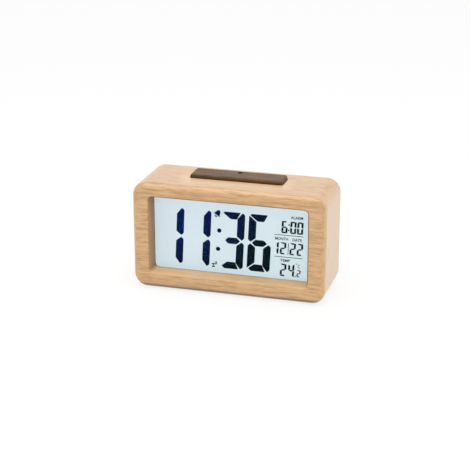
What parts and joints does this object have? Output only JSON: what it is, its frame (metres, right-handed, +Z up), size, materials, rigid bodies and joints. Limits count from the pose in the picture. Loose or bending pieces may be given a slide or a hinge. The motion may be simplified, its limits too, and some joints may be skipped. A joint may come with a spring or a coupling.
{
  "type": "digital alarm clock",
  "caption": "Digital alarm clock in a rounded solid-wood case, with a deep-set backlit segment display, a sprung dark wooden snooze bar on top, and rear buttons, slide switch and battery door.",
  "frame": {"origin": "on the table, under the middle of the case", "axes": "+X to the viewer's right across the display, +Y from the display to the rear cover, +Z up"},
  "size_m": [0.135, 0.048, 0.0787],
  "materials": {
    "beech": "oiled, fine straight grain",
    "dark_wood": "oiled, fine straight grain",
    "clear_lens": "polished, clear",
    "display_glass": "polished",
    "display_panel": "backlit, pale blue-white with dark segments",
    "smoked_lens": "polished, smoked",
    "white_plastic": "moulded",
    "cover_plastic": "fine spark-textured moulding",
    "button_plastic": "satin",
    "circuit_board": "solder-resist lacquer",
    "black_resin": "cast",
    "steel": "nickel plated",
    "brass": "plain",
    "foot_rubber": "matt",
    "cell_jacket": "printed film, plain",
    "red_sleeve": "extruded",
    "black_sleeve": "extruded",
    "grey_sleeve": "extruded"
  },
  "bodies": {
    "case": {"wooden_case": "beech", "foot_1": "foot_rubber", "foot_2": "foot_rubber", "foot_3": "foot_rubber", "foot_4": "foot_rubber", "display_lens": "clear_lens", "lcd_front_glass": "display_glass", "lcd_rear_glass": "display_panel", "backlight_guide": "clear_lens", "led_strip": "white_plastic", "lcd_tray": "white_plastic", "zebra_strip": "foot_rubber", "main_board": "circuit_board", "driver_chip": "black_resin", "clock_crystal": "steel", "temperature_sensor": "black_resin", "board_screw_1": "steel", "board_screw_2": "steel", "snooze_bracket": "cover_plastic", "snooze_board": "circuit_board", "snooze_switch": "black_resin", "snooze_spring_left": "steel", "snooze_spring_right": "steel", "bracket_screw_left": "steel", "bracket_screw_right": "steel", "rear_cover": "cover_plastic", "cover_screw_1": "steel", "cover_screw_2": "steel", "cover_screw_3": "steel", "cover_screw_4": "steel", "buzzer": "brass", "battery_1": "cell_jacket", "battery_2": "cell_jacket", "battery_3": "cell_jacket", "battery_spring_1": "steel", "battery_spring_2": "steel", "battery_spring_3": "steel", "contact_negative": "steel", "contact_link_1": "steel", "contact_link_2": "steel", "contact_positive": "steel", "battery_lead_black": "black_sleeve", "battery_lead_red": "red_sleeve", "key_cable": "grey_sleeve", "key_board": "circuit_board", "mode_switch": "black_resin", "set_switch": "black_resin", "up_switch": "black_resin", "down_switch": "black_resin", "alarm_switch": "black_resin"},
    "snooze": {"snooze_bar": "dark_wood", "light_window": "smoked_lens", "snooze_carrier": "cover_plastic", "light_sensor": "black_resin"},
    "mode_key": {"mode_button": "button_plastic"},
    "set_key": {"set_button": "button_plastic"},
    "up_key": {"up_button": "button_plastic"},
    "down_key": {"down_button": "button_plastic"},
    "alarm_slider": {"alarm_knob": "button_plastic"},
    "door": {"battery_door": "cover_plastic"}
  },
  "joints": [
    {"name": "snooze_press", "type": "slide", "parent": "case", "child": "snooze", "axis": [0, 0, -1], "range_m": [0, 0.001], "stiffness_N_per_m": 1600, "springref_m": -0.0006, "deforming": ["snooze_spring_left", "snooze_spring_right"]},
    {"name": "mode_press", "type": "slide", "parent": "case", "child": "mode_key", "axis": [0, -1, 0], "range_m": [0, 0.0008], "stiffness_N_per_m": 1500},
    {"name": "set_press", "type": "slide", "parent": "case", "child": "set_key", "axis": [0, -1, 0], "range_m": [0, 0.0008], "stiffness_N_per_m": 1500},
    {"name": "up_press", "type": "slide", "parent": "case", "child": "up_key", "axis": [0, -1, 0], "range_m": [0, 0.0008], "stiffness_N_per_m": 1500},
    {"name": "down_press", "type": "slide", "parent": "case", "child": "down_key", "axis": [0, -1, 0], "range_m": [0, 0.0008], "stiffness_N_per_m": 1500},
    {"name": "alarm_slide", "type": "slide", "parent": "case", "child": "alarm_slider", "axis": [1, 0, 0], "range_m": [0, 0.003]},
    {"name": "door_hinge", "type": "hinge", "parent": "case", "child": "door", "pos_m": [0, 0.0225, 0.01345], "axis": [-1, 0, 0], "range_deg": [0, 75]}
  ]
}
